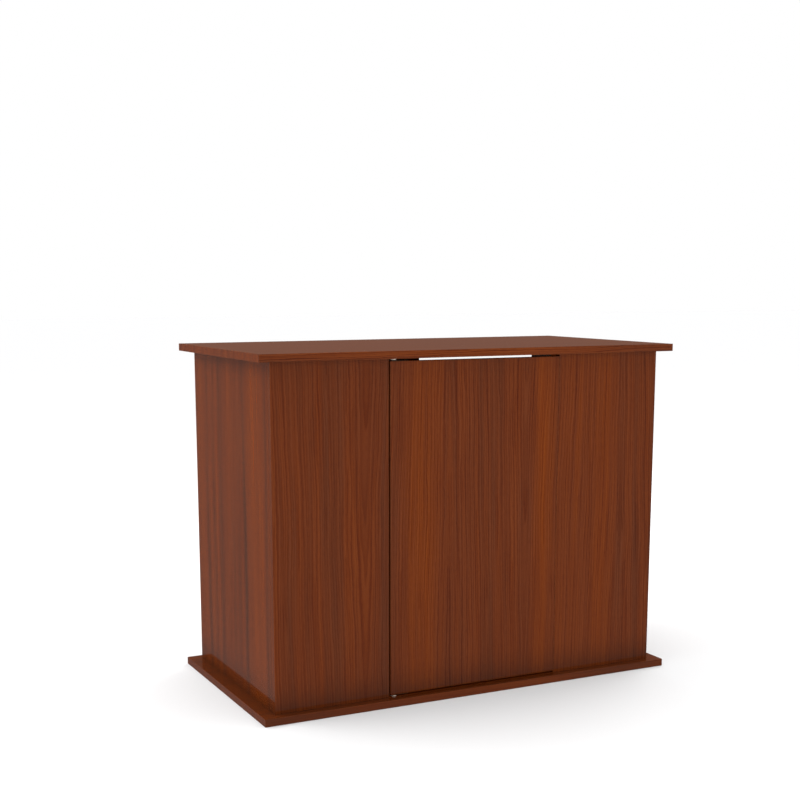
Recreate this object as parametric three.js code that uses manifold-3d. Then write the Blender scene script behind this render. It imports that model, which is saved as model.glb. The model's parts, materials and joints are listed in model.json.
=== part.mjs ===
// Aquarium stand cabinet: a laminated-board box between two equal overhanging boards, with two
// fixed front panels, one flush door on pivot hinges, a magnetic touch latch and an open back.
// Millimetres, +Z up. Origin: centre of the footprint, on the floor. The door side faces -Y.

import * as THREE from 'three';
import { RoundedBoxGeometry } from 'three/addons/geometries/RoundedBoxGeometry.js';
import { mergeVertices } from 'three/addons/utils/BufferGeometryUtils.js';
import Module from 'manifold-3d';

const wasm = await Module();
wasm.setup();

// ---- Driving dimensions ------------------------------------------------------------------------

const WIDTH = 984;             // top and base boards
const DEPTH = 510;
const HEIGHT = 745;
const BOARD = 16;              // thickness of every board
const EDGE_ROUND = 0.4;        // eased edges of the boards

const BODY_WIDTH = 925;        // outside of the side panels
const BODY_FRONT = -234;       // front face of the front panels and the door
const BODY_BACK = 236;
const OPENING = 411;           // doorway between the two fixed front panels
const BACK_PANEL_WIDTH = 198;

const HINGE_GAP = 4;           // door to left panel, clear for the turning corner
const LATCH_GAP = 0.5;         // door to right panel
const DOOR_TOP_GAP = 6;
const DOOR_BOTTOM_GAP = 4.5;
const PIVOT_INSET = 10;        // pivot axis in from the door's left edge, at mid-thickness

const CLEAT_HEIGHT = 36;       // battens under the top board, one on each side panel
const CLEAT_FRONT = -200;

const FIT = 0.2;               // radial clearance of a fastener in its hole
const CLOSE = 0.05;            // radial clearance of the pivot pin in its leaf
const RUNNING = 0.06;          // radial clearance of the pivot pin in its bushing
const GAP = 0.3;               // clearance between faces that slide or nearly touch
const OVER = 1;                // how far a cutter runs past the face it opens

const ROUND_STEPS = 2;         // segments of an eased edge
const GRID = 1000;             // board corners sit on a grid of 1 / GRID mm
const COARSE = 14;             // sides of small hidden turned parts
const MEDIUM = 24;
const FINE = 32;
const BORE_SIDES = 64;         // sides of a bore that a pin runs in

// ---- Derived places ----------------------------------------------------------------------------

const TOP_UNDER = HEIGHT - BOARD;
const SIDE_X = BODY_WIDTH / 2;
const PANEL_BACK = BODY_FRONT + BOARD;
const DOOR_LEFT = -OPENING / 2 + HINGE_GAP;
const DOOR_RIGHT = OPENING / 2 - LATCH_GAP;
const DOOR_BOTTOM = BOARD + DOOR_BOTTOM_GAP;
const DOOR_TOP = TOP_UNDER - DOOR_TOP_GAP;
const PIVOT_X = DOOR_LEFT + PIVOT_INSET;
const PIVOT_Y = BODY_FRONT + BOARD / 2;
const FRONT_PANEL_X = (SIDE_X + OPENING / 2) / 2;

const UP = new THREE.Vector3(0, 0, 1);
const DOWN = new THREE.Vector3(0, 0, -1);
const TO_RIGHT = new THREE.Vector3(1, 0, 0);
const TO_LEFT = new THREE.Vector3(-1, 0, 0);
const TO_FRONT = new THREE.Vector3(0, -1, 0);
const TO_BACK = new THREE.Vector3(0, 1, 0);

// ---- Materials ---------------------------------------------------------------------------------

const FINISH = {
  laminate: { color: 0x67361f, roughness: 0.3, metalness: 0 },
  beech: { color: 0xc9a06c, roughness: 0.7, metalness: 0 },
  steel: { color: 0x9a9a98, roughness: 0.35, metalness: 1 },
  zinc: { color: 0xb4b2aa, roughness: 0.45, metalness: 1 },
  nylon: { color: 0xb9a99a, roughness: 0.5, metalness: 0 },
  plastic: { color: 0x4a3a32, roughness: 0.5, metalness: 0 },
};

const stand = new THREE.Group();

function addMesh(name, geometry, finish, parent = stand) {
  const mesh = new THREE.Mesh(geometry, new THREE.MeshStandardMaterial(FINISH[finish]));
  mesh.name = name;
  parent.add(mesh);
  return mesh;
}

// ---- Solids ------------------------------------------------------------------------------------

function toSolid(geometry) {
  const bare = geometry.clone();
  bare.deleteAttribute('normal');
  bare.deleteAttribute('uv');
  const merged = mergeVertices(bare, 1e-4);
  return new wasm.Manifold(new wasm.Mesh({
    numProp: 3,
    vertProperties: new Float32Array(merged.attributes.position.array),
    triVerts: new Uint32Array(merged.index.array),
  }));
}

// Triangles share no vertices here, so that flat faces shade flat.
function toGeometry(solid) {
  const mesh = solid.getMesh();
  const shared = new THREE.BufferGeometry();
  shared.setAttribute('position', new THREE.BufferAttribute(mesh.vertProperties, 3));
  shared.setIndex(new THREE.BufferAttribute(mesh.triVerts, 1));
  const geometry = shared.toNonIndexed();
  geometry.computeVertexNormals();
  return geometry;
}

function cut(geometry, cutters) {
  const solid = cutters.reduce((rest, cutter) => rest.subtract(toSolid(cutter)), toSolid(geometry));
  return toGeometry(solid);
}

function span(x0, x1, y0, y1, z0, z1) {
  const block = new THREE.BoxGeometry(x1 - x0, y1 - y0, z1 - z0);
  return block.translate((x0 + x1) / 2, (y0 + y1) / 2, (z0 + z1) / 2);
}

// A board with eased edges. Its faces lie exactly on the planes asked for, so that boards which
// meet there touch and don't overlap.
function slab(x0, x1, y0, y1, z0, z1) {
  const board = new RoundedBoxGeometry(x1 - x0, y1 - y0, z1 - z0, ROUND_STEPS, EDGE_ROUND);
  board.translate((x0 + x1) / 2, (y0 + y1) / 2, (z0 + z1) / 2);
  const places = board.attributes.position.array;
  for (let i = 0; i < places.length; i += 1) {
    places[i] = Math.round(places[i] * GRID) / GRID;
  }
  return board;
}

// A turned shape: [radius, distance] pairs along its axis, closed on the axis at both ends.
function turned(profile, sides) {
  const points = profile.map(([radius, distance]) => new THREE.Vector2(radius, distance));
  const first = new THREE.Vector2(0, points[0].y);
  const last = new THREE.Vector2(0, points[points.length - 1].y);
  return new THREE.LatheGeometry([first, ...points, last], sides).rotateX(Math.PI / 2);
}

function rod(radius, length, sides) {
  return turned([[radius, 0], [radius, length]], sides);
}

// Moves a shape made along +Z so that it starts at a point and runs in a direction.
function along(geometry, point, direction) {
  const turn = new THREE.Quaternion().setFromUnitVectors(UP, direction);
  return geometry.applyQuaternion(turn).translate(point.x, point.y, point.z);
}

// ---- Fasteners ---------------------------------------------------------------------------------

// Each kind has its own shape and the hole that it needs, both along +Z from the head's face.
const CONFIRMAT = {
  head: 5, sink: 3, neck: 3.5, neckEnd: 14, step: 1, core: 2.5, tip: 3, point: 1.25, length: 50,
  key: 2.3, keyDepth: 2.5, keySides: 6,
};
const WOOD_SCREW = { head: 4, sink: 2.6, shank: 2, tip: 4, point: 0.7, key: 1.4, keyDepth: 1.4 };
const LEAF_SCREW = { head: 3, sink: 1.6, shank: 1.5, tip: 3, point: 0.5, key: 1.1, keyDepth: 0.9 };
const DOWEL = { radius: 4, chamfer: 0.8, length: 30, start: 10 };
const CAM = { radius: 7.5, depth: 12.5, mouthStart: 1.5, slot: 1.2, slotHalf: 5, slotDepth: 3 };
const CAM_BOLT = {
  flange: 4, flangeDepth: 2.4, shank: 2.5, ball: 3, ballLength: 4, neck: 1, reach: 25, embedded: 11,
};

function confirmatShape(grow = 0) {
  return turned([
    [CONFIRMAT.head + grow, 0],
    [CONFIRMAT.neck + grow, CONFIRMAT.sink],
    [CONFIRMAT.neck + grow, CONFIRMAT.neckEnd],
    [CONFIRMAT.core + grow, CONFIRMAT.neckEnd + CONFIRMAT.step],
    [CONFIRMAT.core + grow, CONFIRMAT.length - CONFIRMAT.tip + grow],
    [CONFIRMAT.point + grow, CONFIRMAT.length + grow],
  ], COARSE);
}

function screwShape(kind, length, grow = 0) {
  return turned([
    [kind.head + grow, 0],
    [kind.shank + grow, kind.sink],
    [kind.shank + grow, length - kind.tip + grow],
    [kind.point + grow, length + grow],
  ], COARSE);
}

function crossKey(kind) {
  const long = kind.key;
  const narrow = kind.key / 3;
  return [
    span(-long, long, -narrow, narrow, -OVER, kind.keyDepth),
    span(-narrow, narrow, -long, long, -OVER, kind.keyDepth),
  ];
}

function dowelShape(grow = 0) {
  const radius = DOWEL.radius + grow;
  return turned([
    [radius - DOWEL.chamfer, -grow],
    [radius, DOWEL.chamfer],
    [radius, DOWEL.length - DOWEL.chamfer],
    [radius - DOWEL.chamfer, DOWEL.length + grow],
  ], COARSE);
}

// A bolt with its flange under the top board: the threaded end runs up, the ball end runs down.
function camBoltShape(grow = 0) {
  const neckEnd = CAM_BOLT.reach - CAM_BOLT.ballLength - CAM_BOLT.neck;
  return turned([
    [CAM_BOLT.ball + grow, -CAM_BOLT.reach - grow],
    [CAM_BOLT.ball + grow, -neckEnd - CAM_BOLT.neck + grow],
    [CAM_BOLT.shank + grow, -neckEnd + grow],
    [CAM_BOLT.shank + grow, -CAM_BOLT.flangeDepth - grow],
    [CAM_BOLT.flange + grow, -CAM_BOLT.flangeDepth - grow],
    [CAM_BOLT.flange + grow, 0],
    [CAM_BOLT.shank + grow, 0],
    [CAM_BOLT.shank + grow, CAM_BOLT.embedded + grow],
  ], COARSE);
}

// A cam disc running into its panel, with a mouth in its rim for the bolt's ball end and a driver
// slot in its face. The bolt lies in the middle of the panel's thickness.
function camShape(intoPanel) {
  const origin = new THREE.Vector3(0, 0, 0);
  const mouthPoint = new THREE.Vector3(0, (intoPanel.y * BOARD) / 2, CAM.mouthStart);
  const mouth = along(rod(CAM_BOLT.ball + FIT, CAM.radius, COARSE), mouthPoint, UP);
  const slot = span(-CAM.slotHalf, CAM.slotHalf, -CAM.slotDepth, CAM.slotDepth, -CAM.slot, CAM.slot);
  return cut(along(rod(CAM.radius, CAM.depth, MEDIUM), origin, intoPanel), [mouth, slot]);
}

// Holes wanted in each board, and the fasteners that fill them.
const holes = {};

function wantHole(boards, cutter) {
  for (const board of boards) {
    holes[board] = holes[board] ?? [];
    holes[board].push(cutter);
  }
}

function addFastener(name, geometry, finish, point, direction) {
  const mesh = addMesh(name, geometry, finish);
  mesh.position.copy(point);
  mesh.quaternion.setFromUnitVectors(UP, direction);
}

function addConfirmat(name, x, y, panel) {
  const point = new THREE.Vector3(x, y, 0);
  const key = rod(CONFIRMAT.key, CONFIRMAT.keyDepth + OVER, CONFIRMAT.keySides);
  const socket = key.translate(0, 0, -OVER);
  addFastener(name, cut(confirmatShape(), [socket]), 'zinc', point, UP);
  wantHole(['base_board', panel], along(confirmatShape(FIT), point, UP));
}

function addWoodScrew(name, point, direction, length, boards) {
  const geometry = cut(screwShape(WOOD_SCREW, length), crossKey(WOOD_SCREW));
  addFastener(name, geometry, 'zinc', point, direction);
  wantHole(boards, along(screwShape(WOOD_SCREW, length, FIT), point, direction));
}

function addDowel(name, point, direction, boards) {
  addFastener(name, dowelShape(), 'beech', point, direction);
  wantHole(boards, along(dowelShape(FIT), point, direction));
}

// The cam sits in the panel's inner face, the bolt runs down from the top board to reach it.
function addCamFitting(name, x, innerFaceY, inward, panel) {
  const panelMiddleY = innerFaceY - (inward.y * BOARD) / 2;
  const boltPoint = new THREE.Vector3(x, panelMiddleY, TOP_UNDER);
  addFastener(`${name}_cam_bolt`, camBoltShape(), 'zinc', boltPoint, UP);
  wantHole(['top_board', panel], along(camBoltShape(FIT), boltPoint, UP));

  const camPoint = new THREE.Vector3(x, innerFaceY, TOP_UNDER - CAM_BOLT.reach - CAM.mouthStart - FIT);
  const intoPanel = inward.clone().negate();
  addMesh(`${name}_cam`, camShape(intoPanel), 'zinc').position.copy(camPoint);
  const socket = rod(CAM.radius + FIT, CAM.depth + FIT, MEDIUM);
  wantHole([panel], along(socket, camPoint, intoPanel));
}

const SIDE_SCREW_Y = [['front', -150], ['rear', 165]];
const CLEAT_SIDE_SCREW = { shift: 25, length: 28 };
const CLEAT_TOP_SCREW = { shift: -15, length: 47 };
const FRONT_SCREW_SHIFT = 55;          // from the middle of a fixed front panel
const FRONT_DOWEL_SHIFT = -60;
const BACK_SCREW_X = 70;
const CORNER_DOWEL_Z = [['lower', 180], ['upper', 560]];

function addSideFasteners(side, sign) {
  const panel = `${side}_side_panel`;
  const panelX = sign * (SIDE_X - BOARD / 2);
  const cleatFace = sign * (SIDE_X - 2 * BOARD);
  const cleatMiddle = sign * (SIDE_X - 1.5 * BOARD);
  const cleatZ = TOP_UNDER - CLEAT_HEIGHT / 2;
  const outward = sign > 0 ? TO_RIGHT : TO_LEFT;
  for (const [place, y] of SIDE_SCREW_Y) {
    addConfirmat(`${side}_${place}_base_screw`, panelX, y, panel);
    const sidePoint = new THREE.Vector3(cleatFace, y + CLEAT_SIDE_SCREW.shift, cleatZ);
    addWoodScrew(`${side}_${place}_cleat_side_screw`, sidePoint, outward, CLEAT_SIDE_SCREW.length,
      [`${side}_cleat`, panel]);
    const topPoint = new THREE.Vector3(cleatMiddle, y + CLEAT_TOP_SCREW.shift, TOP_UNDER - CLEAT_HEIGHT);
    addWoodScrew(`${side}_${place}_cleat_top_screw`, topPoint, UP, CLEAT_TOP_SCREW.length,
      [`${side}_cleat`, 'top_board']);
  }
  for (const [corner, z] of CORNER_DOWEL_Z) {
    const point = new THREE.Vector3(panelX, PANEL_BACK - DOWEL.start, z);
    addDowel(`${side}_${corner}_corner_dowel`, point, TO_BACK, [`front_${side}_panel`, panel]);
  }
}

function addFrontFasteners(side, sign) {
  const panel = `front_${side}_panel`;
  const middle = sign * FRONT_PANEL_X;
  const dowelPoint = new THREE.Vector3(middle + FRONT_DOWEL_SHIFT, PIVOT_Y, BOARD - DOWEL.start);
  addConfirmat(`front_${side}_base_screw`, middle + FRONT_SCREW_SHIFT, PIVOT_Y, panel);
  addDowel(`front_${side}_base_dowel`, dowelPoint, UP, ['base_board', panel]);
  addCamFitting(`front_${side}`, middle, PANEL_BACK, TO_BACK, panel);
}

function addFasteners() {
  for (const [side, sign] of [['left', -1], ['right', 1]]) {
    addSideFasteners(side, sign);
    addFrontFasteners(side, sign);
    addConfirmat(`back_${side}_base_screw`, sign * BACK_SCREW_X, BODY_BACK - BOARD / 2, 'back_centre_panel');
  }
  addCamFitting('back', 0, BODY_BACK - BOARD, TO_FRONT, 'back_centre_panel');
}

// ---- Pivot hinges ------------------------------------------------------------------------------

const LEAF_LENGTH = 44;
const LEAF_WIDTH = 12;
const LEAF_THICK = 2;
const LEAF_SEGMENTS = 10;              // of each round end
const LEAF_INSET = 0.5;                // from the door's edge
const LEAF_SCREW_LENGTH = 16;
const LEAF_SCREW_OFFSETS = [15, 28];   // from the pivot axis
const PIN_RADIUS = 3;
const PIN_REACH = 9;                   // into the board
const BUSHING_RADIUS = 5;
const BUSHING_DEPTH = 11;
const SPACER_RADIUS = 6.2;
const SPACER_SIDES = 28;

// A leaf plate with round ends, from -half width to its length less half width, on z 0..thick.
function leafShape() {
  const radius = LEAF_WIDTH / 2;
  const far = LEAF_LENGTH - LEAF_WIDTH;
  const outline = new THREE.Shape();
  outline.absarc(0, 0, radius, Math.PI / 2, (3 * Math.PI) / 2, false);
  outline.absarc(far, 0, radius, -Math.PI / 2, Math.PI / 2, false);
  const plate = new THREE.ExtrudeGeometry(outline, {
    depth: LEAF_THICK, bevelEnabled: false, curveSegments: LEAF_SEGMENTS,
  });
  return plate.translate(radius - PIVOT_INSET + LEAF_INSET, 0, 0);
}

// Everything of one hinge. The board's face is at faceZ, and away points from the door to it.
function addHinge(end, faceZ, doorZ, away, board) {
  const pivot = new THREE.Group();
  pivot.position.set(PIVOT_X, PIVOT_Y, doorZ);
  if (away.z < 0) {
    pivot.rotation.x = Math.PI;
  }
  stand.add(pivot);

  const gap = Math.abs(faceZ - doorZ);
  const pinHole = rod(PIN_RADIUS + CLOSE, LEAF_THICK + 2 * OVER, MEDIUM).translate(0, 0, -OVER);
  const screwHoles = [];
  LEAF_SCREW_OFFSETS.forEach((offset, index) => {
    const headPoint = new THREE.Vector3(offset, 0, LEAF_THICK);
    screwHoles.push(along(screwShape(LEAF_SCREW, LEAF_SCREW_LENGTH, FIT), headPoint, DOWN));
    const screw = addMesh(`${end}_leaf_screw_${index + 1}`,
      cut(screwShape(LEAF_SCREW, LEAF_SCREW_LENGTH), crossKey(LEAF_SCREW)), 'steel', pivot);
    screw.position.copy(headPoint);
    screw.quaternion.setFromUnitVectors(UP, DOWN);

    const doorPoint = new THREE.Vector3(PIVOT_X + offset, PIVOT_Y, doorZ + away.z * LEAF_THICK);
    const intoDoor = away.clone().negate();
    wantHole(['door_panel'], along(screwShape(LEAF_SCREW, LEAF_SCREW_LENGTH, FIT), doorPoint, intoDoor));
  });
  addMesh(`${end}_hinge_leaf`, cut(leafShape(), [pinHole, ...screwHoles]), 'steel', pivot);

  const pin = rod(PIN_RADIUS, gap + PIN_REACH - GAP, FINE).translate(0, 0, GAP);
  addMesh(`${end}_pivot_pin`, pin, 'steel', pivot);

  const spacerDepth = gap - LEAF_THICK - 2 * GAP;
  const spacer = cut(rod(SPACER_RADIUS, spacerDepth, SPACER_SIDES),
    [rod(PIN_RADIUS + FIT, spacerDepth + 2 * OVER, SPACER_SIDES).translate(0, 0, -OVER)]);
  addMesh(`${end}_pivot_spacer`, spacer, 'nylon', pivot).position.z = LEAF_THICK + GAP;

  const bushing = cut(rod(BUSHING_RADIUS, BUSHING_DEPTH, FINE),
    [rod(PIN_RADIUS + RUNNING, BUSHING_DEPTH + 2 * OVER, BORE_SIDES).translate(0, 0, -OVER)]);
  addMesh(`${end}_pivot_bushing`, bushing, 'nylon', pivot).position.z = gap;

  const socketPoint = new THREE.Vector3(PIVOT_X, PIVOT_Y, faceZ);
  wantHole([board], along(rod(BUSHING_RADIUS + FIT, BUSHING_DEPTH + FIT, FINE), socketPoint, away));
}

// ---- Touch latch -------------------------------------------------------------------------------

const LATCH_X = 192.5;
const LATCH_WIDTH = 12;
const LATCH_HEIGHT = 21;
const LATCH_LENGTH = 62;
const LATCH_FRONT = PANEL_BACK + 6;
const PLUNGER_Z = TOP_UNDER - 14.5;
const PLUNGER_RADIUS = 4;
const PLUNGER_LENGTH = 32;
const BORE_LENGTH = 54;
const EAR_REACH = 16;
const EAR_LENGTH = 14;
const EAR_THICK = 3;
const EAR_SCREW_X = 11;
const SHORT_SCREW = 12;                // length of the ear and strike screws
const MAGNET_RADIUS = 3.4;
const MAGNET_THICK = 2.2;
const SPRING = { radius: 3, wire: 0.45, turns: 7, clear: 1, steps: 10, segments: 3 };
const STRIKE_THICK = 1.2;
const STRIKE_SIZE = 14;
const STRIKE_TAIL = 8;                 // room for the screw below the struck square
const STRIKE_DROP = 1;                 // from the plunger's axis to the middle of the square
const STRIKE_SCREW_DROP = 10;

function springShape(length) {
  class Coil extends THREE.Curve {
    getPoint(t, target = new THREE.Vector3()) {
      const angle = 2 * Math.PI * SPRING.turns * t;
      return target.set(SPRING.radius * Math.cos(angle), length * t, SPRING.radius * Math.sin(angle));
    }
  }
  const section = new THREE.Shape();
  section.absarc(0, 0, SPRING.wire, 0, 2 * Math.PI, false);
  return new THREE.ExtrudeGeometry(section, {
    steps: SPRING.turns * SPRING.steps,
    curveSegments: SPRING.segments,
    bevelEnabled: false,
    extrudePath: new Coil(),
  });
}

function shortScrew(name, point, direction, board) {
  const hole = along(screwShape(LEAF_SCREW, SHORT_SCREW, FIT), point, direction);
  const geometry = cut(screwShape(LEAF_SCREW, SHORT_SCREW), crossKey(LEAF_SCREW));
  addFastener(name, geometry, 'steel', point, direction);
  wantHole([board], hole);
  return hole;
}

// A bored body with two screw ears, hung under the top board.
function addLatchHousing() {
  const earMiddle = LATCH_FRONT + LATCH_LENGTH / 2;
  const body = slab(LATCH_X - LATCH_WIDTH / 2, LATCH_X + LATCH_WIDTH / 2,
    LATCH_FRONT, LATCH_FRONT + LATCH_LENGTH, TOP_UNDER - LATCH_HEIGHT, TOP_UNDER);
  const ears = span(LATCH_X - EAR_REACH, LATCH_X + EAR_REACH,
    earMiddle - EAR_LENGTH / 2, earMiddle + EAR_LENGTH / 2, TOP_UNDER - EAR_THICK, TOP_UNDER);
  const boreStart = new THREE.Vector3(LATCH_X, LATCH_FRONT - OVER, PLUNGER_Z);
  const bore = along(rod(PLUNGER_RADIUS + GAP, BORE_LENGTH + OVER, MEDIUM), boreStart, TO_BACK);
  const screwHoles = [-1, 1].map((sign, index) => {
    const point = new THREE.Vector3(LATCH_X + sign * EAR_SCREW_X, earMiddle, TOP_UNDER - EAR_THICK);
    return shortScrew(`latch_screw_${index + 1}`, point, UP, 'top_board');
  });
  const whole = toGeometry(toSolid(body).add(toSolid(ears)));
  addMesh('latch_housing', cut(whole, [bore, ...screwHoles]), 'plastic');
}

// The plunger, its magnet and its spring, one behind the other in the housing's bore.
function addPlunger() {
  const nose = new THREE.Vector3(LATCH_X, PANEL_BACK + STRIKE_THICK + GAP, PLUNGER_Z);
  const shaftStart = nose.clone().add(new THREE.Vector3(0, MAGNET_THICK, 0));
  addFastener('latch_magnet', rod(MAGNET_RADIUS, MAGNET_THICK, MEDIUM), 'steel', nose, TO_BACK);
  addFastener('latch_plunger', rod(PLUNGER_RADIUS, PLUNGER_LENGTH, MEDIUM), 'plastic', shaftStart, TO_BACK);

  const springStart = shaftStart.y + PLUNGER_LENGTH + SPRING.clear;
  const springLength = LATCH_FRONT + BORE_LENGTH - springStart - SPRING.clear;
  const spring = addMesh('latch_spring', springShape(springLength), 'steel');
  spring.position.set(LATCH_X, springStart, PLUNGER_Z);
}

function addStrike() {
  const half = STRIKE_SIZE / 2;
  const back = PANEL_BACK + STRIKE_THICK;
  const middleZ = PLUNGER_Z - STRIKE_DROP;
  const screwPoint = new THREE.Vector3(LATCH_X, back, middleZ - STRIKE_SCREW_DROP);
  const plate = span(LATCH_X - half, LATCH_X + half, PANEL_BACK, back,
    middleZ - half - STRIKE_TAIL, middleZ + half);
  const screwHole = shortScrew('strike_screw', screwPoint, TO_FRONT, 'door_panel');
  addMesh('strike_plate', cut(plate, [screwHole]), 'steel');
}

// ---- Boards ------------------------------------------------------------------------------------

function addBoard(name, shape, finish = 'laminate') {
  addMesh(name, cut(shape, holes[name] ?? []), finish);
}

function addBoards() {
  addBoard('base_board', slab(-WIDTH / 2, WIDTH / 2, -DEPTH / 2, DEPTH / 2, 0, BOARD));
  addBoard('top_board', slab(-WIDTH / 2, WIDTH / 2, -DEPTH / 2, DEPTH / 2, TOP_UNDER, HEIGHT));
  addBoard('left_side_panel', slab(-SIDE_X, -SIDE_X + BOARD, PANEL_BACK, BODY_BACK, BOARD, TOP_UNDER));
  addBoard('right_side_panel', slab(SIDE_X - BOARD, SIDE_X, PANEL_BACK, BODY_BACK, BOARD, TOP_UNDER));
  addBoard('front_left_panel', slab(-SIDE_X, -OPENING / 2, BODY_FRONT, PANEL_BACK, BOARD, TOP_UNDER));
  addBoard('front_right_panel', slab(OPENING / 2, SIDE_X, BODY_FRONT, PANEL_BACK, BOARD, TOP_UNDER));
  addBoard('back_centre_panel', slab(-BACK_PANEL_WIDTH / 2, BACK_PANEL_WIDTH / 2,
    BODY_BACK - BOARD, BODY_BACK, BOARD, TOP_UNDER));
  addBoard('door_panel', slab(DOOR_LEFT, DOOR_RIGHT, BODY_FRONT, PANEL_BACK, DOOR_BOTTOM, DOOR_TOP));

  const cleatOuter = SIDE_X - BOARD;
  const cleatInner = cleatOuter - BOARD;
  const cleatLow = TOP_UNDER - CLEAT_HEIGHT;
  addBoard('left_cleat', slab(-cleatOuter, -cleatInner, CLEAT_FRONT, BODY_BACK, cleatLow, TOP_UNDER));
  addBoard('right_cleat', slab(cleatInner, cleatOuter, CLEAT_FRONT, BODY_BACK, cleatLow, TOP_UNDER));
}

addFasteners();
addHinge('top', TOP_UNDER, DOOR_TOP, UP, 'top_board');
addHinge('bottom', BOARD, DOOR_BOTTOM, DOWN, 'base_board');
addLatchHousing();
addPlunger();
addStrike();
addBoards();

export default stand;
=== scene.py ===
import json
import math

import bpy
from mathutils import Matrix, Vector


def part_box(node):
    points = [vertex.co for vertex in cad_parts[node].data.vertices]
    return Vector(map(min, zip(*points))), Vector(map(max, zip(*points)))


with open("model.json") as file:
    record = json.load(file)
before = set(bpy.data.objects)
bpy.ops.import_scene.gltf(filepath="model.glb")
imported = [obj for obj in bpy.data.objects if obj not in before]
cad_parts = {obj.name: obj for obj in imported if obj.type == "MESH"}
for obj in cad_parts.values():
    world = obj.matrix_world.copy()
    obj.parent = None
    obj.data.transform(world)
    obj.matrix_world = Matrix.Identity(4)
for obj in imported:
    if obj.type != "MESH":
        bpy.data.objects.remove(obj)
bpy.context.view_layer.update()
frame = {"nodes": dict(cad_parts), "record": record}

MM = 0.001


# ---- Node graphs -------------------------------------------------------------------------------

class Graph:
    """Short calls for building a node tree. Values may be numbers or sockets."""

    def __init__(self, tree):
        self.tree = tree
        tree.nodes.clear()

    def node(self, kind, inputs=(), **settings):
        made = self.tree.nodes.new("ShaderNode" + kind)
        for name, value in settings.items():
            setattr(made, name, value)
        for key, value in dict(inputs).items():
            self.feed(made.inputs[key], value)
        return made

    def feed(self, socket, value):
        if isinstance(value, bpy.types.NodeSocket):
            self.tree.links.new(value, socket)
        else:
            socket.default_value = value

    def math(self, operation, a, b=0.0, c=0.0, clamp=False):
        made = self.node("Math", operation=operation, use_clamp=clamp)
        for socket, value in zip(made.inputs, (a, b, c)):
            self.feed(socket, value)
        return made.outputs[0]

    def add(self, *values):
        total = values[0]
        for value in values[1:]:
            total = self.math("ADD", total, value)
        return total

    def times(self, a, b):
        return self.math("MULTIPLY", a, b)

    def vector(self, x=0.0, y=0.0, z=0.0):
        return self.node("CombineXYZ", {"X": x, "Y": y, "Z": z}).outputs[0]

    def split(self, vector):
        made = self.node("SeparateXYZ", {"Vector": vector})
        return made.outputs["X"], made.outputs["Y"], made.outputs["Z"]

    def smooth(self, value, low, high, to_low=0.0, to_high=1.0):
        made = self.node("MapRange", interpolation_type="SMOOTHSTEP")
        for name, number in (("From Min", low), ("From Max", high), ("To Min", to_low), ("To Max", to_high)):
            self.feed(made.inputs[name], number)
        self.feed(made.inputs["Value"], value)
        return made.outputs["Result"]

    def noise(self, vector, scale=1.0, detail=2.0, roughness=0.5, distortion=0.0):
        """A noise value centred on zero, about -1 to 1."""
        made = self.node("TexNoise", {"Vector": vector, "Scale": scale, "Detail": detail,
                                      "Roughness": roughness, "Distortion": distortion})
        return self.math("MULTIPLY_ADD", made.outputs["Fac"], 4.0, -2.0)

    def mix(self, factor, a, b, blend="MIX"):
        made = self.node("Mix", data_type="RGBA", blend_type=blend)
        self.feed(made.inputs["Factor"], factor)
        self.feed(made.inputs["A"], a)
        self.feed(made.inputs["B"], b)
        return made.outputs["Result"]

    def pick(self, factor, a, b):
        """a where factor is 0, b where it is 1, for numbers."""
        made = self.node("Mix", data_type="FLOAT")
        self.feed(made.inputs["Factor"], factor)
        self.feed(made.inputs["A"], a)
        self.feed(made.inputs["B"], b)
        return made.outputs["Result"]


def rgb(red, green, blue):
    return (red, green, blue, 1.0)


def new_material(name):
    material = bpy.data.materials.new(name)
    material.use_nodes = True
    return material, Graph(material.node_tree)


def finish_material(graph, color, roughness, height=None, bump=0.2, bump_depth=0.1 * MM, **more):
    inputs = {"Base Color": color, "Roughness": roughness}
    if height is not None:
        lifted = graph.node("Bump", {"Strength": bump, "Distance": bump_depth, "Height": height})
        inputs["Normal"] = lifted.outputs[0]
    inputs.update(more)
    surface = graph.node("BsdfPrincipled", inputs)
    output = graph.node("OutputMaterial")
    graph.tree.links.new(surface.outputs[0], output.inputs["Surface"])


# ---- Wood-grain laminate -----------------------------------------------------------------------

# The print's colours, from its darkest to its brightest tone, and where the middle one lies between.
WOOD_DARK = rgb(0.062, 0.0172, 0.0068)
WOOD_MIDDLE = rgb(0.112, 0.0218, 0.0040)
WOOD_ORANGE = rgb(0.165, 0.0300, 0.0014)
MIDDLE_LEVEL = 0.45
SEAM_BROWN = rgb(0.02, 0.006, 0.002)
# worn arris colour: partly wear, partly a painted highlight on the rounded edge
WORN_HIGHLIGHT_BROWN = rgb(0.26, 0.085, 0.030)
CHIP_PALE = rgb(0.42, 0.26, 0.13)
CHIP_DARK = rgb(0.20, 0.11, 0.05)

# How the grain lines wander: cycles a metre across and along, noise detail, and reach in metres.
WANDERS = ((5.0, 1.9, 2.0, 0.0060), (55.0, 14.0, 1.0, 0.0010), (210.0, 60.0, 1.0, 0.0004))

# How strongly each printed mark changes the tone, and the spacing of the two sets of lines.
MARK_LEVEL = 0.18
WIDE_LINE = -0.23
CLOSE_LINE = -0.28
FINE_GRAIN = 0.10
DASH = 0.07
PORE = -0.20
WIDE_PITCH = 0.0088
CLOSE_PITCH = 0.0047
INK_GREEN = 1.6        # the marks take out more green and blue than red
INK_BLUE = 2.7

BASE_GLOSS = 0.055     # roughness of the clean laminate
SEAM_STRENGTH = 0.25
WORN_HIGHLIGHT_STRENGTH = 0.30
BAND_SWAY = 0.004      # how far the broad bands sway sideways

# The room taken up by the closed body; surfaces inside it have a matt finish.
BODY_LOW = (-0.4620, -0.2335, 0.0155)
BODY_HIGH = (0.4620, 0.2355, 0.7295)

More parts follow.
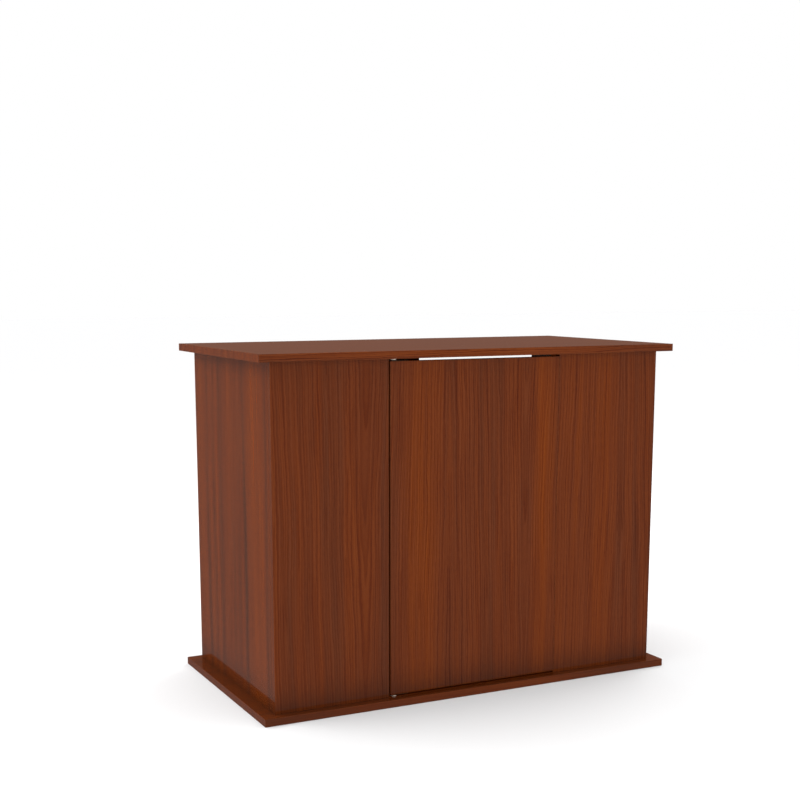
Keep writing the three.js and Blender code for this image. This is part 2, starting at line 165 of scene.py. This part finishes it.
TOP_PAINTED_LIGHT = 0.20        # painted light: how much the front is lightened right under the top board, in its shadow line
BASE_PAINTED_LIGHT = 0.42       # painted light: how much it is lightened right above the base, in its shadow line
UPRIGHT_SHADE = 1.0    # how much the uprights darken where they meet the base
LEVEL_SHADE = 0.40     # how much the base darkens there

# Hearts of the flame figure: place across the grain, and depth below the sheet's cut.
HEARTS = ((-0.255, 0.017), (0.125, 0.006), (0.620, 0.017), (-0.700, 0.017))

# Broad tone bands that run the full height of the uprights: centre, half width, tone.
BAND_STRENGTH = 0.55
FRONT_BANDS = (
    (-0.330, 0.120, -0.28),
    (-0.452, 0.012, 0.30), (-0.422, 0.028, -0.45), (-0.362, 0.008, 0.55), (-0.333, 0.012, -0.20),
    (-0.300, 0.016, 0.25), (-0.220, 0.022, -0.45), (-0.116, 0.030, 0.85), (-0.062, 0.014, -0.55),
    (0.046, 0.026, -0.78), (0.098, 0.010, 0.35), (0.164, 0.018, 0.90), (0.224, 0.022, 0.40),
    (0.318, 0.034, 0.40), (0.372, 0.016, -0.20), (0.425, 0.022, -0.60), (0.462, 0.006, -0.90),
)
SIDE_BANDS = (
    (-0.222, 0.007, -0.90), (-0.200, 0.006, -0.80), (-0.168, 0.016, 0.90), (-0.130, 0.016, 1.00),
    (-0.105, 0.008, 0.10), (-0.078, 0.013, -1.10), (-0.052, 0.006, 0.30), (-0.033, 0.010, -0.90),
    (-0.010, 0.007, -0.50), (0.016, 0.010, 0.50), (0.040, 0.006, -0.30), (0.070, 0.014, -0.90),
    (0.096, 0.006, 0.60), (0.116, 0.008, -0.70), (0.142, 0.007, 0.40), (0.161, 0.008, -0.80),
    (0.200, 0.016, 0.70), (0.224, 0.006, -0.30),
)

# Painted light and shade along the front edges of the two level boards, darker towards their ends where the
# light falls off: centre, half width, tone.
TOP_EDGE_PAINTED_LIGHT = ((-0.050, 0.200, 0.50), (0.430, 0.130, -0.40), (-0.480, 0.060, -0.45))
BASE_EDGE_PAINTED_SHADE = ((-0.470, 0.120, -0.55), (0.360, 0.150, -1.40))


def wood_group():
    """The laminate's print. Across and Along are metres on the sheet, Shift picks another sheet."""
    tree = bpy.data.node_groups.new("laminate_print", "ShaderNodeTree")
    for name in ("Across", "Along", "Shift", "Tone", "Lines"):
        tree.interface.new_socket(name, in_out="INPUT", socket_type="NodeSocketFloat")
    for name, kind in (("Color", "NodeSocketColor"), ("Height", "NodeSocketFloat"),
                       ("Sheen", "NodeSocketFloat")):
        tree.interface.new_socket(name, in_out="OUTPUT", socket_type=kind)
    graph = Graph(tree)
    given = tree.nodes.new("NodeGroupInput").outputs
    across, along, shift = given["Across"], given["Along"], given["Shift"]

    moved = across
    for across_rate, along_rate, detail, reach in WANDERS:
        where = graph.vector(graph.times(across, across_rate), graph.times(along, along_rate), shift)
        moved = graph.add(moved, graph.times(graph.noise(where, detail=detail), reach))

    # Distance from the nearest heart, bent into a cone, gives the flame figure. The two slopes lean it.
    cone = 10.0
    for heart, depth in HEARTS:
        away = graph.math("SUBTRACT", moved, heart)
        from_heart = graph.math("SQRT", graph.add(graph.times(away, away), depth ** 2))
        cone = graph.math("MINIMUM", cone, from_heart)
    ring = graph.add(cone, graph.times(moved, 0.18), graph.times(along, -0.014))

    def grain(pitch, stretch, detail):
        where = graph.vector(graph.math("DIVIDE", ring, pitch), graph.times(along, stretch), shift)
        return graph.noise(where, detail=detail)

    def late_wood(pitch, jitter):
        """Thin dark lines, one a pitch, each fading in across the ring and ending sharply."""
        count = graph.add(graph.math("DIVIDE", ring, pitch), graph.times(jitter, 0.45))
        phase = graph.math("FRACT", count)
        return graph.times(graph.smooth(phase, 0.35, 0.86), graph.smooth(phase, 1.0, 0.90))

    broad = grain(0.050, 0.7, 1.0)
    middle = grain(0.014, 1.5, 2.0)
    fine = grain(0.0036, 4.0, 1.0)
    tone = graph.add(graph.times(broad, 0.30), graph.times(middle, 0.34), given["Tone"])

    strength = graph.smooth(grain(0.030, 1.2, 1.0), -1.0, 1.0, 0.35, 1.0)
    wide_lines = graph.times(late_wood(WIDE_PITCH, middle), strength)
    close_lines = late_wood(CLOSE_PITCH, fine)
    dash_place = graph.vector(graph.times(moved, 650.0), graph.times(along, 70.0), shift)
    dashes = graph.noise(dash_place, detail=1.0)
    pore_place = graph.vector(graph.times(moved, 1500.0), graph.times(along, 45.0), shift)
    pores = graph.smooth(graph.noise(pore_place, detail=0.0), 0.75, 1.5)

    level = graph.math("MULTIPLY_ADD", tone, 0.5, 0.5, clamp=True)
    ramp = graph.node("ValToRGB", {"Fac": level})
    ramp.color_ramp.elements[0].color = WOOD_DARK
    ramp.color_ramp.elements[1].color = WOOD_ORANGE
    ramp.color_ramp.elements.new(MIDDLE_LEVEL).color = WOOD_MIDDLE
    marks = graph.add(MARK_LEVEL, graph.times(wide_lines, WIDE_LINE), graph.times(close_lines, CLOSE_LINE),
                      graph.times(fine, FINE_GRAIN), graph.times(dashes, DASH), graph.times(pores, PORE))
    shade = graph.add(1.0, graph.times(marks, given["Lines"]))
    ink = graph.vector(shade, graph.math("POWER", shade, INK_GREEN), graph.math("POWER", shade, INK_BLUE))
    color = graph.mix(1.0, ramp.outputs["Color"], ink, blend="MULTIPLY")

    output = tree.nodes.new("NodeGroupOutput")
    graph.feed(output.inputs["Color"], color)
    graph.feed(output.inputs["Height"], graph.add(graph.times(wide_lines, -0.5), graph.times(pores, -1.0)))
    graph.feed(output.inputs["Sheen"], graph.add(graph.times(wide_lines, 0.02), graph.times(pores, 0.10)))
    return tree


def band_tone(graph, across, along, bands):
    """The sum of the broad bands, each swelling and fading a little along its length."""
    total = 0.0
    for index, (centre, half, strength) in enumerate(bands):
        offset = graph.math("DIVIDE", graph.math("SUBTRACT", across, centre), half)
        bell = graph.math("EXPONENT", graph.times(graph.times(offset, offset), -1.0))
        fade = graph.noise(graph.vector(graph.times(along, 2.4), 3.0 * index), detail=0.0)
        swell = graph.smooth(fade, -1.4, 1.4, 0.55, 1.45)
        total = graph.add(total, graph.times(graph.times(bell, swell), strength * BAND_STRENGTH))
    return total


def face_axes(graph, place, normal, upright):
    """The two sheet directions on each face of a board, and masks of the faces square to X and Z."""
    x, y, z = graph.split(place)
    normal_x, normal_y, normal_z = graph.split(normal)
    on_x = graph.math("GREATER_THAN", graph.math("ABSOLUTE", normal_x), 0.7)
    on_z = graph.math("GREATER_THAN", graph.math("ABSOLUTE", normal_z), 0.7)
    if upright:
        across = graph.pick(on_x, x, y)
        along = graph.pick(on_z, z, y)
    else:
        across = graph.pick(graph.math("MAXIMUM", on_x, on_z), z, y)
        along = graph.pick(on_x, x, z)
    return across, along, on_x, on_z


def edge_distance(graph, place, low, high):
    """Distance along the surface of a box to its nearest edge, and depth below its surface."""
    from_low = graph.node("VectorMath", operation="SUBTRACT")
    graph.feed(from_low.inputs[0], place)
    graph.feed(from_low.inputs[1], low)
    to_high = graph.node("VectorMath", operation="SUBTRACT")
    graph.feed(to_high.inputs[0], high)
    graph.feed(to_high.inputs[1], place)
    nearer = graph.node("VectorMath", operation="MINIMUM")
    graph.feed(nearer.inputs[0], from_low.outputs[0])
    graph.feed(nearer.inputs[1], to_high.outputs[0])
    x, y, z = graph.split(nearer.outputs[0])
    least = graph.math("MINIMUM", x, graph.math("MINIMUM", y, z))
    most = graph.math("MAXIMUM", x, graph.math("MAXIMUM", y, z))
    middle = graph.math("SUBTRACT", graph.add(x, y, z), graph.add(least, most))
    return middle, least


def painted_shadow_fill(graph, place, on_x):
    """Painted light: lightening of the front's colour in the two narrow shadow lines, under the top and above
    the base.
    """
    height = graph.split(place)[2]
    painted_light = graph.add(graph.smooth(height, 0.700, 0.728, 0.0, TOP_PAINTED_LIGHT),
                     graph.smooth(height, 0.026, 0.016, 0.0, BASE_PAINTED_LIGHT))
    return graph.add(1.0, graph.times(painted_light, graph.math("SUBTRACT", 1.0, on_x)))


def base_shade(graph, place, outside, upright, on_z):
    """Darkening of the low, sheltered corner between the uprights and the base."""
    corner = graph.node("AmbientOcclusion", {"Distance": 0.09}, samples=8).outputs["AO"]
    low = graph.smooth(graph.split(place)[2], 0.16, 0.06)
    strength = UPRIGHT_SHADE if upright else graph.times(on_z, LEVEL_SHADE)
    return graph.math("POWER", corner, graph.times(graph.times(low, outside), strength))


def printed_sheet_and_shade(graph, group, board, axes, shift):
    """The print on one board: the shared pattern with the board's own bands. On the level boards these bands
    are painted light and shade along the front edges.
    """
    across, along, on_x, on_z = axes
    sheet = graph.node("Group", node_tree=group)
    graph.feed(sheet.inputs["Across"], across)
    graph.feed(sheet.inputs["Along"], along)
    graph.feed(sheet.inputs["Shift"], graph.math("MULTIPLY_ADD", on_x, 5.3, shift))
    if board["upright"]:
        sway_place = graph.vector(graph.times(across, 9.0), graph.times(along, 3.0), shift)
        swayed = graph.add(across, graph.times(graph.noise(sway_place, detail=1.0), BAND_SWAY))
        tone = graph.pick(on_x, band_tone(graph, swayed, along, board["front_print_and_shade_bands"]),
                          band_tone(graph, swayed, along, board["side_bands"]))
    else:
        # level boards: the front edges get painted light and shade, darker towards their ends
        on_front = graph.math("SUBTRACT", 1.0, graph.add(on_x, on_z))
        tone = graph.times(band_tone(graph, along, across, board["front_print_and_shade_bands"]), on_front)
    graph.feed(sheet.inputs["Tone"], tone)
    graph.feed(sheet.inputs["Lines"], board["lines"])
    return sheet.outputs


def edge_marks_and_highlight(graph, place, to_edge):
    """The glue line of the edge band, and the worn arris beside it, whose lighter colour is partly wear and
    partly a painted highlight on the rounded edge.
    """
    seam = graph.times(graph.smooth(to_edge, 0.9 * MM, 1.1 * MM), graph.smooth(to_edge, 1.5 * MM, 1.25 * MM))
    worn_highlight = graph.smooth(to_edge, 1.3 * MM, 0.1 * MM)
    scuffs = graph.noise(place, scale=90.0, detail=3.0)
    return seam, graph.times(worn_highlight, graph.smooth(scuffs, -0.6, 1.2, 0.25, 1.0))


def chipboard(graph, place):
    chips = graph.noise(place, scale=420.0, detail=3.0)
    return graph.mix(graph.smooth(chips, -1.0, 1.0), CHIP_DARK, CHIP_PALE)


def laminate(node, group, shift, upright=False, front_print_and_shade_bands=(), side_bands=(), lines=1.0, tint=1.0):
    """Semi-gloss printed laminate with banded edges on one board, and chipboard inside its holes."""
    material, graph = new_material("laminate_" + node)
    texture = graph.node("TexCoord").outputs
    place = texture["Object"]
    axes = face_axes(graph, place, texture["Normal"], upright)
    on_x, on_z = axes[2:]
    board = {"upright": upright, "front_print_and_shade_bands": front_print_and_shade_bands, "side_bands": side_bands, "lines": lines}
    sheet = printed_sheet_and_shade(graph, group, board, axes, shift)

    low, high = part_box(node)
    to_edge, depth = edge_distance(graph, place, low, high)
    seam, worn_highlight = edge_marks_and_highlight(graph, place, to_edge)
    color = graph.mix(graph.times(seam, SEAM_STRENGTH), sheet["Color"], SEAM_BROWN)
    # lighter worn arris, partly wear and partly a painted highlight
    color = graph.mix(graph.times(worn_highlight, WORN_HIGHLIGHT_STRENGTH), color, WORN_HIGHLIGHT_BROWN)
    inside = graph.smooth(depth, 0.35 * MM, 0.45 * MM)
    color = graph.mix(inside, color, chipboard(graph, place))

    body_depth = edge_distance(graph, place, BODY_LOW, BODY_HIGH)[1]
    outside = graph.math("LESS_THAN", body_depth, 0.0)
    shade = graph.times(base_shade(graph, place, outside, upright, on_z), tint)
    # painted light lifts the front's colour in the shadow lines under the top board and above the base
    if upright:
        shade = graph.times(shade, painted_shadow_fill(graph, place, on_x))
    color = graph.mix(1.0, color, graph.vector(shade, shade, shade), blend="MULTIPLY")

    handling = graph.noise(place, scale=7.0, detail=4.0, roughness=0.6)
    gloss = graph.add(BASE_GLOSS, sheet["Sheen"], graph.times(handling, 0.010), graph.times(worn_highlight, 0.10))
    roughness = graph.pick(inside, gloss, 0.9)
    height = graph.add(graph.times(sheet["Height"], 0.3), graph.times(seam, -1.0))
    finish_material(graph, color, roughness, height, bump=0.12, bump_depth=0.05 * MM,
                    **{"Specular IOR Level": graph.times(outside, 0.5)})
    dress(material, [node])


def dress(material, names):
    for name in names:
        mesh = frame["nodes"][name].data
        mesh.materials.clear()
        mesh.materials.append(material)


# ---- Metal, nylon, plastic and dowel wood ------------------------------------------------------

def darker(color, factor):
    return rgb(*(factor * part for part in color[:3]))


def brushed_metal(name, color, roughness, spots=0.0):
    material, graph = new_material(name)
    place = graph.node("TexCoord").outputs["Object"]
    x, y, z = graph.split(place)
    strokes = graph.noise(graph.vector(graph.times(x, 300.0), graph.times(y, 4000.0), graph.times(z, 4000.0)))
    cloud = graph.noise(place, scale=260.0, detail=3.0)
    dull = graph.smooth(cloud, 0.1, 1.2)
    tint = graph.mix(graph.times(dull, 0.35 + spots), color, darker(color, 0.45))
    rough = graph.add(roughness, graph.times(strokes, 0.05), graph.times(dull, 0.15))
    finish_material(graph, tint, rough, strokes, bump=0.15, bump_depth=0.02 * MM, Metallic=1.0)
    return material


def moulded(name, color, roughness):
    material, graph = new_material(name)
    place = graph.node("TexCoord").outputs["Object"]
    cloud = graph.noise(place, scale=120.0, detail=3.0)
    grit = graph.noise(place, scale=2600.0, detail=2.0)
    tint = graph.mix(graph.smooth(cloud, -1.0, 1.4, 0.0, 0.3), color, darker(color, 0.6))
    finish_material(graph, tint, graph.add(roughness, graph.times(cloud, 0.05)), grit, bump=0.25,
                    bump_depth=0.03 * MM)
    return material


def dowel_wood():
    material, graph = new_material("dowel_beech")
    place = graph.node("TexCoord").outputs["Object"]
    flecks = graph.noise(place, scale=900.0, detail=2.0)
    tint = graph.mix(graph.smooth(flecks, -1.0, 1.2), rgb(0.55, 0.36, 0.18), rgb(0.36, 0.20, 0.09))
    finish_material(graph, tint, 0.6, flecks, bump=0.3)
    return material


def dress_everything():
    group = wood_group()
    for node, lines in (("front_left_panel", 0.86), ("front_right_panel", 1.0), ("door_panel", 1.0)):
        laminate(node, group, 0.0, upright=True, front_print_and_shade_bands=FRONT_BANDS, lines=lines)
    laminate("left_side_panel", group, 2.7, upright=True, side_bands=SIDE_BANDS, lines=0.8)
    laminate("right_side_panel", group, 4.1, upright=True, side_bands=SIDE_BANDS, lines=0.8)
    laminate("back_centre_panel", group, 6.3, upright=True)
    laminate("top_board", group, 8.9, front_print_and_shade_bands=TOP_EDGE_PAINTED_LIGHT, lines=1.3)
    laminate("base_board", group, 11.2, front_print_and_shade_bands=BASE_EDGE_PAINTED_SHADE, lines=0.5, tint=0.86)
    laminate("left_cleat", group, 13.7)
    laminate("right_cleat", group, 15.1)

    slots = {}
    for part in frame["record"]["subparts"]:
        slots.setdefault(part["material_slot"], []).append(part["node"])
    dress(brushed_metal("hinge_steel", rgb(0.52, 0.50, 0.47), 0.32), slots["steel"])
    dress(brushed_metal("hinge_bronze", rgb(0.16, 0.085, 0.055), 0.42), slots["hinge_bronze"])
    dress(brushed_metal("zinc_plate", rgb(0.60, 0.58, 0.52), 0.38, spots=0.15), slots["zinc"])
    dress(moulded("nylon_grey", rgb(0.60, 0.50, 0.42), 0.42), slots["nylon"])
    dress(moulded("latch_brown", rgb(0.075, 0.045, 0.032), 0.45), slots["latch_plastic"])
    dress(dowel_wood(), slots["dowel_wood"])


# ---- Studio ------------------------------------------------------------------------------------

GLOSS_LIGHT = 0.17     # how bright the studio looks in reflections
FAR_DIMMING = 0.82     # how much of that the floor behind the cabinet keeps
DOME = 1.37            # how brightly the white dome lights the scene
WHITE = rgb(1.0, 1.0, 1.0)
WARM = rgb(1.10, 0.60, 0.45)    # a warm card behind the cabinet, seen only in reflections


def by_ray(graph, seen, glossy, other):
    """A number that depends on the kind of ray: straight from the camera, glossy, or any other."""
    rays = graph.node("LightPath").outputs
    return graph.pick(rays["Is Camera Ray"], graph.pick(rays["Is Glossy Ray"], other, glossy), seen)


def make_world():
    world = bpy.data.worlds.new("studio")
    world.use_nodes = True
    graph = Graph(world.node_tree)
    x, y, z = graph.split(graph.node("TexCoord").outputs["Generated"])
    sky = graph.math("MULTIPLY_ADD", graph.math("MAXIMUM", z, 0.0), -0.28 * DOME, 1.12 * DOME)
    strength = by_ray(graph, 1.0, GLOSS_LIGHT, sky)
    card = graph.times(graph.smooth(y, 0.2, 0.7), graph.smooth(z, 0.6, 0.3))
    color = graph.mix(graph.times(card, graph.node("LightPath").outputs["Is Glossy Ray"]), WHITE, WARM)
    background = graph.node("Background", {"Color": color, "Strength": strength})
    output = graph.node("OutputWorld")
    graph.tree.links.new(background.outputs[0], output.inputs["Surface"])
    bpy.context.scene.world = world


def make_floor():
    bpy.ops.mesh.primitive_plane_add(size=60.0, location=(0.0, 0.0, -0.0002))
    floor = bpy.context.object
    floor.name = "studio_floor"
    material, graph = new_material("studio_floor")
    matte = graph.node("BsdfDiffuse", {"Color": rgb(0.78, 0.78, 0.783)})
    behind = graph.split(graph.node("NewGeometry").outputs["Position"])[1]
    reflected = graph.smooth(behind, -0.5, 1.0, GLOSS_LIGHT, FAR_DIMMING * GLOSS_LIGHT)
    dim = graph.node("Emission", {"Color": WHITE, "Strength": reflected})
    rays = graph.node("LightPath").outputs
    shown = graph.node("MixShader", {"Fac": rays["Is Glossy Ray"]})
    graph.tree.links.new(matte.outputs[0], shown.inputs[1])
    graph.tree.links.new(dim.outputs[0], shown.inputs[2])
    output = graph.node("OutputMaterial")
    graph.tree.links.new(shown.outputs[0], output.inputs["Surface"])
    floor.data.materials.append(material)


def make_softbox(name, place, energy):
    """A wide soft box aimed low at the cabinet, shown in no reflection."""
    data = bpy.data.lights.new(name, "AREA")
    data.shape = "RECTANGLE"
    data.size = 3.0
    data.size_y = 2.0
    data.energy = energy
    light = bpy.data.objects.new(name, data)
    light.location = place
    aim = Vector((0.0, 0.0, 0.3)) - light.location
    light.rotation_euler = aim.to_track_quat("-Z", "Y").to_euler()
    light.visible_glossy = False
    light.visible_camera = False
    bpy.context.scene.collection.objects.link(light)


def make_camera():
    data = bpy.data.cameras.new("photo_camera")
    data.sensor_width = 36.0
    data.lens = 59.78
    data.shift_y = 0.1391
    data.clip_end = 200.0
    camera = bpy.data.objects.new("photo_camera", data)
    camera.location = (-1.3904, -2.6588, 0.8820)
    camera.rotation_euler = (math.radians(90.0 - 9.81), 0.0, math.radians(-26.53))
    bpy.context.scene.collection.objects.link(camera)
    bpy.context.scene.camera = camera


def make_studio():
    make_world()
    make_floor()
    make_softbox("left_softbox", (-2.7, 0.9, 3.0), 70.0)
    make_softbox("right_softbox", (2.8, 1.0, 2.4), 45.0)
    make_camera()
    view = bpy.context.scene.view_settings
    view.view_transform = "Standard"
    view.look = "None"


dress_everything()
make_studio()
